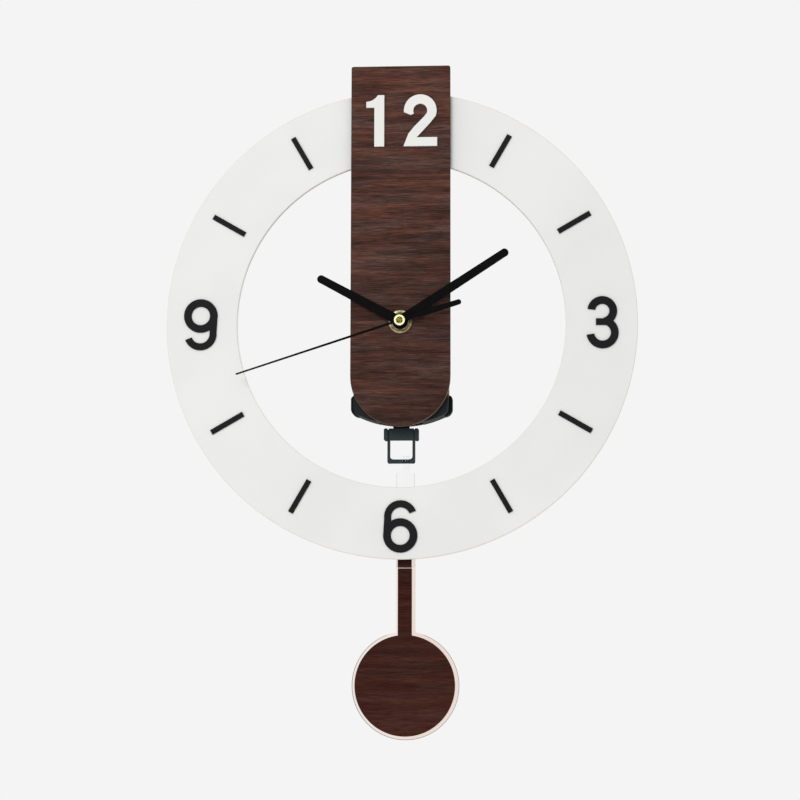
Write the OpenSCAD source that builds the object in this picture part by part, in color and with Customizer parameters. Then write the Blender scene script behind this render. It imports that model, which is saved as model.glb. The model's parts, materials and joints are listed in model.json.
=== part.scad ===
// Pendulum wall clock: an open ring dial on an upright wooden panel, with a
// battery movement behind the panel and a hook-on pendulum below it.
// Millimetres. X is to the right, Z is up and the front faces -Y.
// The origin is on the axis of the hands, in the wall plane.
// "Depth" is the distance in front of the wall.

/* [Dial ring] */
// Outside diameter of the dial ring
ring_od = 350; // [340:1:360]
// Diameter of the opening in the dial ring
ring_id = 244; // [236:1:250]
// Thickness of the ring with its laminate
ring_t = 3; // [2.4:0.1:3.6]

/* [Panel] */
// Width of the wooden panel
panel_w = 74; // [72:0.5:76]
// Height of the panel's top above the hand axis
panel_top = 193.4; // [185:0.1:198]
// Thickness of the panel with its veneer
panel_t = 4.6; // [4:0.1:5]

/* [Dial marks] */
// Radius to the middle of the hour bars
mark_r = 148.5; // [147:0.1:150]
// Length of an hour bar
mark_l = 27.3; // [24:0.1:30]
// Width of an hour bar
mark_w = 3.9; // [3:0.1:5]
// How far the numerals 3, 6 and 9 and the hour bars stand off the ring
mark_t = 1.0; // [0.6:0.1:1.4]
// Thickness of the two digits of the 12 on the panel
twelve_t = 1.8; // [1:0.1:3]

/* [Hands] */
// Length of the hour hand from the axis
hour_len = 69.5; // [60:1:80]
// Length of the minute hand from the axis
minute_len = 95; // [85:1:105]
// Length of the second hand from the axis
second_len = 127; // [115:1:135]
// Length of the second hand's tail from the axis
tail_len = 47.4; // [40:0.1:50]
// Hour hand's place at rest, clockwise from 12
hour_at = 298.5; // [0:0.5:359.5]
// Minute hand's place at rest, clockwise from 12
minute_at = 57; // [0:1:359]
// Second hand's place at rest, clockwise from 12
second_at = 252; // [0:1:359]
// How far the second hand's tail is bent off its pointer's line
tail_bend = 1.0; // [0:0.1:3]

/* [Movement] */
// Width of the movement's case
case_w = 70; // [69:0.5:71]
// Height of the case's top above the hand axis
case_top = 33; // [33:0.5:36]
// Radius of the case's curved bottom about the hand axis
case_bottom_r = 75.4; // [75:0.1:76]
// Wall thickness of the case
case_wall = 1.6; // [1.4:0.1:1.8]
// Radius of the nail hole in the hanger tab
nail_r = 3.5; // [3:0.1:4]

/* [Pendulum] */
// Radius of the clear plate's disc
bob_r = 39.4; // [38:0.1:41]
// Radius of the dark veneer on the disc
bob_veneer_r = 36.9; // [35:0.1:37.4]
// Depth of the disc's centre below the hand axis
bob_drop = 266.8; // [255:0.1:272]
// Width of the clear rod
rod_w = 14.2; // [13:0.1:16]
// Width of the dark veneer on the rod
rod_veneer_w = 10.4; // [8:0.1:11]
// Thickness of the clear acrylic
acrylic_t = 2.4; // [2:0.1:2.6]
// How far to the right of the middle the pendulum hooks onto its bar
hook_right = 3.4; // [-3.4:0.1:3.4]

/* [Hidden] */
$fn = 96;
eps = 0.01;

// Depths of the layers in front of the wall
ring_face_d = 24;
face_laminate_t = 0.4;
ring_back_d = ring_face_d - ring_t;
tape_t = 0.4;
panel_back_d = ring_face_d + tape_t;
panel_face_d = panel_back_d + panel_t;
veneer_t = 0.4;
case_front_d = 23.4;
cover_t = 1.6;
case_wall_d = case_front_d - case_wall;
plate_d = [11.6, 12.8];
bush_front_d = 31.8;
washer_t = 0.8;
nut_t = 2.4;
nut_back_d = panel_face_d + washer_t;

// Depths of the hands, from the wall to the back of each
hour_hand_d = 32.6;
minute_hand_d = 34.8;
second_hand_d = 37.2;
hand_t = 0.6;
second_hand_t = 0.5;

// Depths of the wheels and pinions
fifth_pinion_d = [3.3, 5.2];
second_wheel_d = [3.6, 4.8];
second_pinion_d = [4.8, 6.9];
third_wheel_d = [5.4, 6.4];
third_pinion_d = [6.4, 9.2];
centre_wheel_d = [7.6, 8.8];
rotor_pinion_d = [9.6, 11.3];
fifth_wheel_d = [10.0, 10.9];
knob_pinion_d = [14.9, 16.9];
minute_pinion_d = [15.0, 17.0];
motion_wheel_d = [15.4, 16.4];
motion_pinion_d = [16.4, 19.2];
hour_wheel_d = [17.4, 18.6];

// Ends of the arbors: in the cover, in the train plate and in the case
cover_pivot_d = 2.1;
plate_pivot_d = 12.6;
case_pivot_d = 21.2;
case_bearing_d = 20.4;

// Radii of the concentric shafts, with a running clearance between them
run = 0.05;
second_r = 0.5;
minute_tube_r = 1.5;
hour_tube_r = 2.5;
bush_r = 3.9;
bush_gap = 0.3;
washer_gap = 0.2;
pivot_r = 0.5;
rotor_pivot_r = 0.4;
knob_shaft_r = 1.2;
bearing_r = 1.4;
hub_tube_r = 1.2;
post_r = 2.2;
peg_r = 1.0;

// Gear modules and tooth counts
mod_fine = 0.30;
mod_hour = 0.32;
mod_train = 0.34;
mod_centre = 0.36;
rotor_n = 12;
fifth_n = 60;
fifth_pinion_n = 10;
second_n = 60;
second_pinion_n = 8;
third_n = 64;
third_pinion_n = 8;
centre_n = 60;
minute_pinion_n = 16;
motion_n = 48;
motion_pinion_n = 12;
hour_n = 48;
knob_n = 16;

// Directions between gear centres, anticlockwise from +X seen from the front
third_dir = 180;
fifth_dir = 75;
rotor_dir = 30;
motion_dir = -45;
knob_dir = -10;

function spacing(m, a, b) = m * (a + b) / 2;
function at(r, dir) = [r * cos(dir), r * sin(dir)];
third_at = at(spacing(mod_train, second_pinion_n, third_n), third_dir);
fifth_at = at(spacing(mod_train, fifth_pinion_n, second_n), fifth_dir);
rotor_at = fifth_at + at(spacing(mod_fine, rotor_n, fifth_n), rotor_dir);
motion_at = at(spacing(mod_fine, minute_pinion_n, motion_n), motion_dir);
knob_at = motion_at + at(spacing(mod_fine, knob_n, motion_n), knob_dir);

// Turn that puts a gear's gap on its partner's tooth: dir points from the
// partner to the gear, and a1 is the direction of one tooth of the partner
function mesh_turn(dir, a1, n1, n2) =
    dir + 180 + ((dir - a1) * n1 / 360 + 0.5) * 360 / n2;

// Pendulum: pivot, lever and hook
pivot_z = -44;
pin_r = 1.0;
pin_d = [4.2, 20.5];
lever_d = [10.8, 14.2];
lever_slot_w = 32;
hook_bar_r = 1.6;
hook_bar_z = -102.2;
strip_back_d = 15.0;
hook_gap = 0.1;
hook_bar_d = strip_back_d - hook_bar_r - hook_gap;
strip_front_d = strip_back_d + acrylic_t;
glue_gap = 0.06;
lower_front_d = strip_back_d - glue_gap;
lower_back_d = lower_front_d - acrylic_t;
veneer_left = 0.5;
splice_z = -181;
splice_gap = 0.14;
tongue_w = 5;
coil_z = -60;
coil_hole_r = 2.4;
pendulum_magnet_r = 4;

// Battery: an AA cell lying across the case
cell_r = 7.2;
cell_len = 49.2;
cell_d = 8.4;
cell_z = -30;
cell_x = -23.7;
tray = [56, 15.2, 17.2];
tray_wall = 1.2;
contact_size = [0.4, 10, 10];

// The stepping motor
rotor_hub_r = 0.9;
core_t = 1.2;
coil_core_z = 27;
core_w = 3.2;
core_x = [5, 30];
stator_d = [6.0, 6.9];

// Case details
hanger_size = [20, 14];
hanger_t = 3;
lug_size = [5.6, 15.8];
lug_z = -60.7;
lug_d = [2.4, 12];
post_places = [[-25, 26], [-25, -14], [26, -16], [26, 8]];

// A flat shape drawn as seen from the front, between two depths
module slab(from, to) {
    translate([0, -from, 0]) rotate([90, 0, 0]) linear_extrude(to - from) children();
}

// A round bar along Y between two depths
module bar(place, r, from, to) {
    slab(from, to) translate(place) circle(r);
}

// A tube along Y between two depths
module tube(place, r, bore, from, to) {
    slab(from, to) translate(place) difference() {
        circle(r);
        circle(bore);
    }
}

// A rectangle with rounded corners, centred
module rounded(size, r) {
    square([size[0] - 2 * r, size[1]], center = true);
    square([size[0], size[1] - 2 * r], center = true);
    for (x = [-1, 1], y = [-1, 1])
        translate([x * (size[0] / 2 - r), y * (size[1] / 2 - r)]) circle(r, $fn = 48);
}

// A ring of circle, cut to the part between two directions
module arc_band(r_out, r_in, from, to) {
    span = to - from;
    reach = 2 * r_out;
    difference() {
        intersection() {
            circle(r_out);
            polygon(concat([[0, 0]], [for (i = [0:6]) at(reach, from + span * i / 6)]));
        }
        circle(r_in);
    }
}

// A gear outline with straight-sided teeth, one of them pointing along turn
module gear_2d(m, n, turn, root_share = 0.24) {
    addendum = 0.8 * m;
    dedendum = 1.1 * m;
    tip_share = 0.10;
    tip_r = m * n / 2 + addendum;
    root_r = m * n / 2 - dedendum;
    tip_half = tip_share * 180 * m / tip_r;
    root_half = root_share * 180 * m / root_r;
    polygon([for (i = [0:n - 1], side = [-1, 1], rim = [0, 1])
        let (tip = side < 0 ? rim : 1 - rim)
        at(tip > 0 ? tip_r : root_r,
           turn + i * 360 / n + side * (tip > 0 ? tip_half : root_half))]);
}

// A wheel with a bore and lightening holes, between the two depths in d
module wheel(place, m, n, turn, bore, d) {
    rim_r = m * n / 2;
    holes = 5;
    hole_at = 0.6 * rim_r;
    hole_r = 0.19 * rim_r;
    slab(d[0], d[1]) translate(place) difference() {
        gear_2d(m, n, turn);
        circle(bore);
        for (i = [0:holes - 1]) rotate((i + 0.5) * 360 / holes) translate([hole_at, 0]) circle(hole_r);
    }
}

// The outline of a pinion, whose teeth are slimmer at the root than a wheel's
module pinion_2d(m, n, turn) {
    gear_2d(m, n, turn, 0.20);
}

// A small solid pinion between the two depths in d
module pinion(place, m, n, turn, d) {
    slab(d[0], d[1]) translate(place) pinion_2d(m, n, turn);
}

// ---------------------------------------------------------------- dial

module ring_2d(shrink) {
    difference() {
        circle(ring_od / 2 - shrink, $fn = 256);
        circle(ring_id / 2 + shrink, $fn = 256);
    }
}

// Pale board that carries the dial
module ring_board() {
    color("#e9dfcf") slab(ring_back_d, ring_face_d - face_laminate_t) ring_2d(0);
}

// Light grey laminate on the front of the board
module ring_face() {
    edge = 0.5;
    color("#e8e8e7") slab(ring_face_d - face_laminate_t, ring_face_d) ring_2d(edge);
}

// Upright panel outline: square top, half-round bottom
module panel_2d(shrink) {
    half = panel_w / 2 - shrink;
    bottom = -77.3;
    low = bottom + panel_w / 2;
    corner = 1.5;
    translate([0, low]) circle(half, $fn = 192);
    translate([-half, low]) square([2 * half, panel_top - shrink - low - corner]);
    translate([-half + corner, low]) square([2 * (half - corner), panel_top - shrink - low]);
    for (x = [-1, 1])
        translate([x * (half - corner), panel_top - shrink - corner]) circle(corner, $fn = 48);
}

module panel_board() {
    color("#b08a5a") slab(panel_back_d, panel_face_d - veneer_t) difference() {
        panel_2d(0);
        circle(bush_r + bush_gap);
    }
}

module panel_veneer() {
    edge = 0.15;
    color("#4b302a") slab(panel_face_d - veneer_t, panel_face_d) difference() {
        panel_2d(edge);
        circle(bush_r + bush_gap);
    }
}

// Double-sided tape between the ring's top and the panel
module mounting_tape() {
    band = [60, 34];
    band_low = 133;
    color("#f4f2ea") slab(ring_face_d, panel_back_d)
        translate([-band[0] / 2, band_low]) square(band);
}

// ------------------------------------------------------------- numerals

// Foot of the 12, left ends of its digits, and centres of the other numerals
twelve_base = 131.9;
one_x = -26.2;
two_x = 2.0;
three_at = [mark_r + 0.4, -0.7];
six_at = [0, -mark_r - 2.2];
nine_at = [-mark_r - 0.8, -0.5];

// Several flat shapes raised together off a face and joined
module raised(t) {
    union() for (i = [0:$children - 1]) slab(0, t) children(i);
}

// The digit 1: a stem with a flag whose top edge sweeps down
module digit_one(t) {
    stem_x = 6.6;
    flag_x = 0.6;
    w = 14.0;
    h = 39.0;
    flag_top = h - 4.9;
    flag_low = h - 9.4;
    sweep_r = 9.97;
    difference() {
        raised(t) {
            translate([stem_x, 0]) square([w - stem_x, h]);
            translate([flag_x, flag_low]) square([w - 1 - flag_x, h - flag_low]);
        }
        slab(-1, t + 1) translate([flag_x, flag_top + sweep_r]) circle(sweep_r);
    }
}

// The digit 2: a hooked bowl, a slanted stroke and a base bar
module digit_two(t) {
    bowl = [12.7, 27.0];
    raised(t) {
        // the bowl, with its end cut square to the stroke
        difference() {
            translate(bowl) arc_band(12.2, 5.2, -20, 205);
            polygon([[-2, 26.9], [8, 22.8], [8, 12], [-2, 12]]);
        }
        translate([3, 0]) square([22.3, 6.6]);
        polygon([[0.2, 0], [3.9, 9.5], [8.0, 14.6], [15.8, 22.6], [17.3, 24.7], [20, 26.4],
                 [24.1, 22.8], [20.5, 18.1], [15.4, 12.5], [9.9, 6.5], [9.9, 0]]);
    }
}

module digit_one_of_12() {
    color("#f2f3f0") translate([one_x, -panel_face_d, twelve_base]) digit_one(twelve_t);
}

module digit_two_of_12() {
    color("#f2f3f0") translate([two_x, -panel_face_d, twelve_base]) digit_two(twelve_t);
}

// The digit 3, centred: two open bowls that meet in a short bar
module digit_three(t) {
    raised(t) {
        translate([-0.1, 8.5]) arc_band(10.9, 5.2, -80, 172);
        translate([0, -7.6]) arc_band(11.8, 6.1, -172, 68);
        translate([-4.8, -2.0]) square([8, 4.9]);
    }
}

// The digit 6, centred: a closed bowl with a hooked back
module digit_six(t) {
    raised(t) {
        translate([0, -6.7]) difference() {
            circle(12.6);
            circle(6.9);
        }
        translate([0.2, 7.0]) arc_band(12.1, 6.9, 21, 180);
        polygon([[-12.5, -6.0], [-11.8, 7.2], [-6.7, 7.2], [-6.9, -6.0]]);
    }
}

module numeral_three() {
    color("#28282a") translate([three_at[0], -ring_face_d, three_at[1]]) digit_three(mark_t);
}

module numeral_six() {
    color("#28282a") translate([six_at[0], -ring_face_d, six_at[1]]) digit_six(mark_t);
}

module numeral_nine() {
    color("#28282a") translate([nine_at[0], -ring_face_d, nine_at[1]])
        rotate([0, 180, 0]) digit_six(mark_t);
}

// The hours marked with a bar, not with a numeral
bar_hours = [for (hour = [1:11]) if (hour % 3 != 0) hour];

module hour_bar(hour) {
    color("#28282a") slab(ring_face_d, ring_face_d + mark_t)
        rotate(-30 * hour) translate([0, mark_r]) square([mark_w, mark_l], center = true);
}

// ----------------------------------------------------- case and fixings

// Case outline: straight sides, rounded lower corners, curved bottom
module case_2d(inset) {
    half = case_w / 2 - inset;
    r = 7 - inset;
    bottom_r = case_bottom_r - inset;
    corner_x = half - r;
    corner_z = -sqrt(pow(bottom_r - r, 2) - pow(corner_x, 2));
    top = case_top - inset;
    corner = 3 - inset;
    wedge = 1.3 * [corner_x, corner_z];
    translate([-half, corner_z]) square([2 * half, top - corner - corner_z]);
    translate([-half + corner, corner_z]) square([2 * (half - corner), top - corner_z]);
    for (x = [-1, 1]) {
        translate([x * corner_x, corner_z]) circle(r, $fn = 48);
        translate([x * (half - corner), top - corner]) circle(corner, $fn = 48);
    }
    intersection() {
        circle(bottom_r, $fn = 256);
        polygon([[0, 0], wedge, [-wedge[0], wedge[1]]]);
    }
}

// Grip lugs on both sides of the case, whose outer lower corners run into its bottom
module side_lugs_2d() {
    r = lug_size[0] / 2;
    foot_r = 6;
    top = lug_z + lug_size[1] / 2 - r;
    low = lug_z - lug_size[1] / 2 + foot_r;
    for (x = [-1, 1]) translate([x * case_w / 2, 0]) {
        translate([0, top]) circle(r, $fn = 48);
        translate([-r, low]) square([2 * r, top - low]);
        translate([x * (r - foot_r), low]) circle(foot_r, $fn = 48);
    }
}

// Open case with its front wall towards the panel
module movement_case() {
    slot_h = 9;
    slot_d = [7.6, 17.2];
    tab_foot = 4;
    tab_corner = 3;
    pin_boss_r = 3;
    pin_boss_d = 16;
    nail_up = 6.5;
    groove_w = 0.5;
    groove_step = 1.1;
    color("#1c2224") difference() {
        union() {
            // front wall
            slab(case_wall_d, case_front_d) case_2d(0);
            // side wall
            slab(cover_t, case_wall_d) difference() {
                case_2d(0);
                case_2d(case_wall);
            }
            // grip lugs
            slab(lug_d[0], lug_d[1]) difference() {
                side_lugs_2d();
                case_2d(case_wall / 2);
            }
            // hanger tab above the case
            slab(0, hanger_t) translate([0, case_top + (hanger_size[1] - tab_foot) / 2])
                rounded([hanger_size[0], hanger_size[1] + tab_foot], tab_corner);
            // posts that carry the train plate
            for (p = post_places) {
                bar(p, post_r, plate_d[1], case_wall_d);
                bar(p, peg_r, plate_d[0] - 0.8, plate_d[1]);
            }
            // front bearings
            bar(motion_at, bearing_r, case_bearing_d, case_wall_d);
            bar(knob_at, bearing_r, case_bearing_d, case_wall_d);
            // boss for the pendulum pin
            bar([0, pivot_z], pin_boss_r, pin_boss_d, case_wall_d);
        }
        // centre hole for the threaded bush
        bar([0, 0], bush_r, case_wall_d - 1, case_front_d + 1);
        // bearing bores
        bar(motion_at, pivot_r + run, case_bearing_d - 1, case_bearing_d + 1);
        bar(knob_at, pivot_r + run, case_bearing_d - 1, case_bearing_d + 1);
        bar([0, pivot_z], pin_r, pin_boss_d - 1, pin_d[1]);
        // nail hole
        bar([0, case_top + nail_up], nail_r, -1, hanger_t + 1);
        // slot for the pendulum lever in the bottom
        slab(slot_d[0], slot_d[1])
            translate([-lever_slot_w / 2, -case_bottom_r - 2]) square([lever_slot_w, slot_h]);
        // finger grooves on the front of the lugs
        for (x = [-1, 1], i = [0:1])
            slab(lug_d[1] - 1, lug_d[1] + 1)
                translate([x * (case_w / 2 + 0.7 + i * groove_step) - groove_w / 2,
                           lug_z - lug_size[1] / 2 - 1]) square([groove_w, lug_size[1] + 2]);
        // room for the cover behind the foot of the hanger tab
        slab(-1, cover_t) translate([-hanger_size[0], case_top - tab_foot - 1])
            square([2 * hanger_size[0], tab_foot + 1]);
    }
}

// Curved arrow that shows which way the setting knob turns
module turn_arrow_2d() {
    arrow_r = 8;
    arrow_w = 0.7;
    arc = [25, 90, 150];
    head = [2.8, 1.3];
    intersection() {
        difference() {
            circle(arrow_r + arrow_w / 2, $fn = 96);
            circle(arrow_r - arrow_w / 2, $fn = 96);
        }
        polygon(concat([[0, 0]], [for (a = arc) 2 * arrow_r * [cos(a), sin(a)]]));
    }
    translate(arrow_r * [cos(arc[2]), sin(arc[2])]) rotate(arc[2] + 90)
        polygon([[-eps, -head[1]], [head[0], 0], [-eps, head[1]]]);
}

// Back cover with the battery tray, rear bearings and the knob opening
module movement_cover() {
    mark_depth = 0.35;
    mark_size = [3.6, 0.8];
    mark_x = tray[0] / 2 + 4;
    tray_x = -tray[0] / 2;
    tray_z = cell_z - tray[1] / 2;
    lip = case_wall + 0.1;
    lip_w = 1.0;
    lip_h = 1.8;
    bearing_front = 2.8;
    bore_back = 2.0;
    pin_seat_r = 2.6;
    pin_seat_d = 8.4;
    knob_opening_r = 6.1;
    color("#1a1f21") difference() {
        union() {
            slab(0, cover_t) difference() {
                case_2d(0);
                // raised bottom edge at the lever's slot
                translate([-lever_slot_w / 2, -case_bottom_r - 1]) square([lever_slot_w, 6]);
            }
            // lip that locates the cover in the case, open at the lever's slot and the tab
            slab(cover_t, cover_t + lip_h) difference() {
                case_2d(lip);
                case_2d(lip + lip_w);
                translate([-lever_slot_w / 2, -case_bottom_r - 1]) square([lever_slot_w, 10]);
                translate([-hanger_size[0] / 2 - washer_gap, case_top - 4])
                    square([hanger_size[0] + 2 * washer_gap, 5]);
            }
            // battery tray
            slab(0, tray[2] + tray_wall) translate([tray_x - tray_wall, tray_z - tray_wall])
                square([tray[0] + 2 * tray_wall, tray[1] + 2 * tray_wall]);
            // rear bearings
            for (p = [[0, 0], third_at, fifth_at, rotor_at]) bar(p, bearing_r, cover_t, bearing_front);
            // rear seat of the pendulum pin
            bar([0, pivot_z], pin_seat_r, cover_t, pin_seat_d);
        }
        // open back of the tray
        slab(-1, tray[2]) translate([tray_x, tray_z]) square([tray[0], tray[1]]);
        for (p = [[0, 0], third_at, fifth_at]) bar(p, pivot_r + run, bore_back, 4);
        bar(rotor_at, rotor_pivot_r + run, bore_back, 4);
        bar([0, pivot_z], pin_r + 0.02, 4, 10);
        // opening for the setting knob
        bar(knob_at, knob_opening_r, -1, 4);
        // sunk plus and minus signs beside the tray, and the knob's arrow
        slab(-1, mark_depth) {
            for (x = [-1, 1]) translate([x * mark_x, cell_z]) square(mark_size, center = true);
            translate([mark_x, cell_z]) square([mark_size[1], mark_size[0]], center = true);
            translate(knob_at) turn_arrow_2d();
        }
    }
}

// Middle plate that carries the front ends of the arbors
module train_plate() {
    low_left = [-29, -18.4];
    size = [59, 48.4];
    color("#e6e4dc") slab(plate_d[0], plate_d[1]) difference() {
        translate(low_left) square(size);
        circle(minute_tube_r + run);
        for (p = [third_at, fifth_at, motion_at]) translate(p) circle(pivot_r + run);
        translate(rotor_at) circle(rotor_pivot_r + run);
        translate(knob_at) circle(knob_shaft_r + run);
        for (p = post_places) translate(p) circle(peg_r + 0.02);
    }
}

// Brass bush that clamps the movement to the panel, with its flange in the case
module threaded_bush() {
    flange_r = 5.5;
    color("#b89b4a") {
        tube([0, 0], flange_r, hour_tube_r + run, case_wall_d - 1, case_wall_d);
        tube([0, 0], bush_r - 0.02, hour_tube_r + run, case_wall_d, bush_front_d);
    }
}

module rubber_washer() {
    color("#222222") tube([0, 0], 10, bush_r + washer_gap, case_front_d, panel_back_d);
}

module brass_washer() {
    color("#b3a05a") tube([0, 0], 8.8, bush_r + washer_gap, panel_face_d, nut_back_d);
}

// Hexagonal nut on the bush
module fixing_nut() {
    color("#b3a05a") slab(nut_back_d, nut_back_d + nut_t) difference() {
        circle(6.9, $fn = 6);
        circle(bush_r);
    }
}

// ---------------------------------------------------------------- hands

// A straight hand with a round tip, widest at the axis, with a collar behind it
module hand(length, root_w, tip_w, hub_r, bore, collar_r) {
    tip_r = tip_w / 2;
    inset = 0.06;
    collar_l = 0.5;
    difference() {
        union() {
            raised(hand_t) {
                circle(hub_r);
                translate([0, length - tip_r]) circle(tip_r, $fn = 48);
                polygon([[-root_w / 2, 0], [-tip_r + inset, length - tip_r],
                         [tip_r - inset, length - tip_r], [root_w / 2, 0]]);
            }
            bar([0, 0], collar_r, -collar_l, eps);
        }
        bar([0, 0], bore, -collar_l - 1, hand_t + 1);
    }
}

module hour_hand() {
    color("#0c0d0e") translate([0, -hour_hand_d, 0]) rotate([0, hour_at, 0])
        hand(hour_len, 7.2, 6.0, 5.8, hour_tube_r, 3.4);
}

module minute_hand() {
    color("#0c0d0e") translate([0, -minute_hand_d, 0]) rotate([0, minute_at, 0])
        hand(minute_len, 7.0, 6.1, 5.5, minute_tube_r, 2.6);
}

// Open nut that holds the minute hand on its arbor
module minute_nut() {
    from = minute_hand_d + hand_t;
    nut_l = 1.1;
    color("#b89b4a") tube([0, 0], 2.9, minute_tube_r, from, from + nut_l);
}

// Thin second hand with a counterweight tail
module second_hand() {
    disc_r = 5.0;
    pointer_w = [1.8, 1.2];
    neck_end = 13;
    neck_w = 2.8;
    shoulder = 3;
    tail_w = [4.7, 4.0];
    tail_r = tail_w[1] / 2;
    inset = 0.03;
    color("#0c0d0e") translate([0, -second_hand_d, 0]) rotate([0, second_at, 0]) difference() {
        raised(second_hand_t) {
            circle(disc_r);
            polygon([[-pointer_w[0] / 2, shoulder], [-pointer_w[1] / 2, second_len],
                     [pointer_w[1] / 2, second_len], [pointer_w[0] / 2, shoulder]]);
            rotate(-tail_bend)
                polygon([[-neck_w / 2, -shoulder], [neck_w / 2, -shoulder],
                         [neck_w / 2, -neck_end], [tail_w[0] / 2, -neck_end - shoulder],
                         [tail_r - inset, tail_r - tail_len], [inset - tail_r, tail_r - tail_len],
                         [-tail_w[0] / 2, -neck_end - shoulder], [-neck_w / 2, -neck_end]]);
            rotate(-tail_bend) translate([0, tail_r - tail_len]) circle(tail_r, $fn = 48);
        }
        bar([0, 0], hub_tube_r, -1, 1);
    }
}

// Brass hub of the second hand: a pressed tube with a recessed, notched head
module second_hub() {
    head_from = second_hand_d + second_hand_t;
    head_to = head_from + 1.3;
    head_r = 3.95;
    recess_r = 2.6;
    recess_from = head_from + 0.7;
    notch_r = 0.45;
    notch_from = head_from + 0.35;
    notch_at = [1.6, -1.2];
    color("#d8c98a") difference() {
        union() {
            bar([0, 0], hub_tube_r, second_hand_d - 0.3, head_from);
            bar([0, 0], head_r, head_from, head_to);
        }
        bar([0, 0], second_r, second_hand_d - 1, head_from + 0.4);
        bar([0, 0], recess_r, recess_from, head_to + 1);
        for (x = [-1, 1]) bar([x * notch_at[0], notch_at[1]], notch_r, notch_from, head_to + 1);
    }
}

// ---------------------------------------------------------------- train

second_turn = 0;
fifth_pinion_turn = mesh_turn(fifth_dir, second_turn, second_n, fifth_pinion_n);
fifth_turn = 0;
rotor_turn = mesh_turn(rotor_dir, fifth_turn, fifth_n, rotor_n);
second_pinion_turn = 0;
third_turn = mesh_turn(third_dir, second_pinion_turn, second_pinion_n, third_n);
third_pinion_turn = 0;
centre_turn = mesh_turn(third_dir - 180, third_pinion_turn, third_pinion_n, centre_n);
minute_pinion_turn = 0;
motion_turn = mesh_turn(motion_dir, minute_pinion_turn, minute_pinion_n, motion_n);
knob_turn = mesh_turn(knob_dir, motion_turn, motion_n, knob_n);
motion_pinion_turn = 0;
hour_turn = mesh_turn(motion_dir - 180, motion_pinion_turn, motion_pinion_n, hour_n);

// Second wheel with its pinion, on the long arbor that carries the second hand
module second_wheel() {
    arbor_front_d = 38.0;
    color("#dedad0") {
        wheel([0, 0], mod_train, second_n, second_turn, second_r, second_wheel_d);
        slab(second_pinion_d[0], second_pinion_d[1]) difference() {
            pinion_2d(mod_train, second_pinion_n, second_pinion_turn);
            circle(second_r);
        }
        bar([0, 0], second_r, cover_pivot_d, arbor_front_d);
    }
}

// Tube that carries the minute pinion and the minute hand
module minute_arbor() {
    tube_d = [7.2, 36.4];
    seat_r = 2.2;
    seat_d = [9.0, 9.6];
    color("#c9b36a") difference() {
        union() {
            bar([0, 0], minute_tube_r, tube_d[0], tube_d[1]);
            pinion([0, 0], mod_fine, minute_pinion_n, minute_pinion_turn, minute_pinion_d);
            bar([0, 0], seat_r, seat_d[0], seat_d[1]);
        }
        bar([0, 0], second_r + run, tube_d[0] - 1, tube_d[1] + 1);
    }
}

// Centre wheel, a friction fit on the minute arbor
module centre_wheel() {
    color("#dedad0")
        wheel([0, 0], mod_centre, centre_n, centre_turn, minute_tube_r + run, centre_wheel_d);
}

module third_wheel() {
    color("#dedad0") {
        wheel(third_at, mod_train, third_n, third_turn, pivot_r, third_wheel_d);
        pinion(third_at, mod_centre, third_pinion_n, third_pinion_turn, third_pinion_d);
        bar(third_at, pivot_r, cover_pivot_d, plate_pivot_d);
    }
}

module fifth_wheel() {
    color("#dedad0") {
        wheel(fifth_at, mod_fine, fifth_n, fifth_turn, pivot_r, fifth_wheel_d);
        pinion(fifth_at, mod_train, fifth_pinion_n, fifth_pinion_turn, fifth_pinion_d);
        bar(fifth_at, pivot_r, cover_pivot_d, plate_pivot_d);
    }
}

// Magnet of the stepping motor
module rotor_magnet() {
    magnet_r = 3.0;
    magnet_d = [4.6, 8.2];
    color("#55565a") tube(rotor_at, magnet_r, rotor_hub_r, magnet_d[0], magnet_d[1]);
}

// Pinion of the stepping motor, with the hub that holds its magnet
module rotor_pinion() {
    hub_back_d = 4.0;
    color("#dedad0") {
        bar(rotor_at, rotor_pivot_r, cover_pivot_d, plate_pivot_d);
        bar(rotor_at, rotor_hub_r, hub_back_d, rotor_pinion_d[0]);
        pinion(rotor_at, mod_fine, rotor_n, rotor_turn, rotor_pinion_d);
    }
}

module motion_wheel() {
    color("#dedad0") {
        wheel(motion_at, mod_fine, motion_n, motion_turn, pivot_r, motion_wheel_d);
        pinion(motion_at, mod_hour, motion_pinion_n, motion_pinion_turn, motion_pinion_d);
        bar(motion_at, pivot_r, plate_d[0] + 0.3, case_pivot_d);
    }
}

// Hour wheel with the tube that carries the hour hand
module hour_wheel() {
    color("#dedad0") slab(hour_wheel_d[0], hour_wheel_d[1]) difference() {
        gear_2d(mod_hour, hour_n, hour_turn);
        circle(minute_tube_r + run);
    }
    color("#c9b36a")
        tube([0, 0], hour_tube_r, minute_tube_r + run, hour_wheel_d[1], hour_hand_d + hand_t);
}

// Knob at the back that sets the hands
module set_knob() {
    grips = 24;
    grip_r = 0.35;
    knob_r = 5.5;
    knob_d = [0.4, 3.4];
    color("#e6e4dc") {
        slab(knob_d[0], knob_d[1]) translate(knob_at) difference() {
            circle(knob_r);
            for (i = [0:grips - 1])
                rotate(i * 360 / grips) translate([knob_r + 0.1, 0]) circle(grip_r, $fn = 16);
        }
        bar(knob_at, knob_shaft_r, knob_d[1], knob_pinion_d[0]);
        pinion(knob_at, mod_fine, knob_n, knob_turn, knob_pinion_d);
        bar(knob_at, pivot_r, knob_pinion_d[1], case_pivot_d);
    }
}

// ---------------------------------------------------------- electronics

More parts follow.
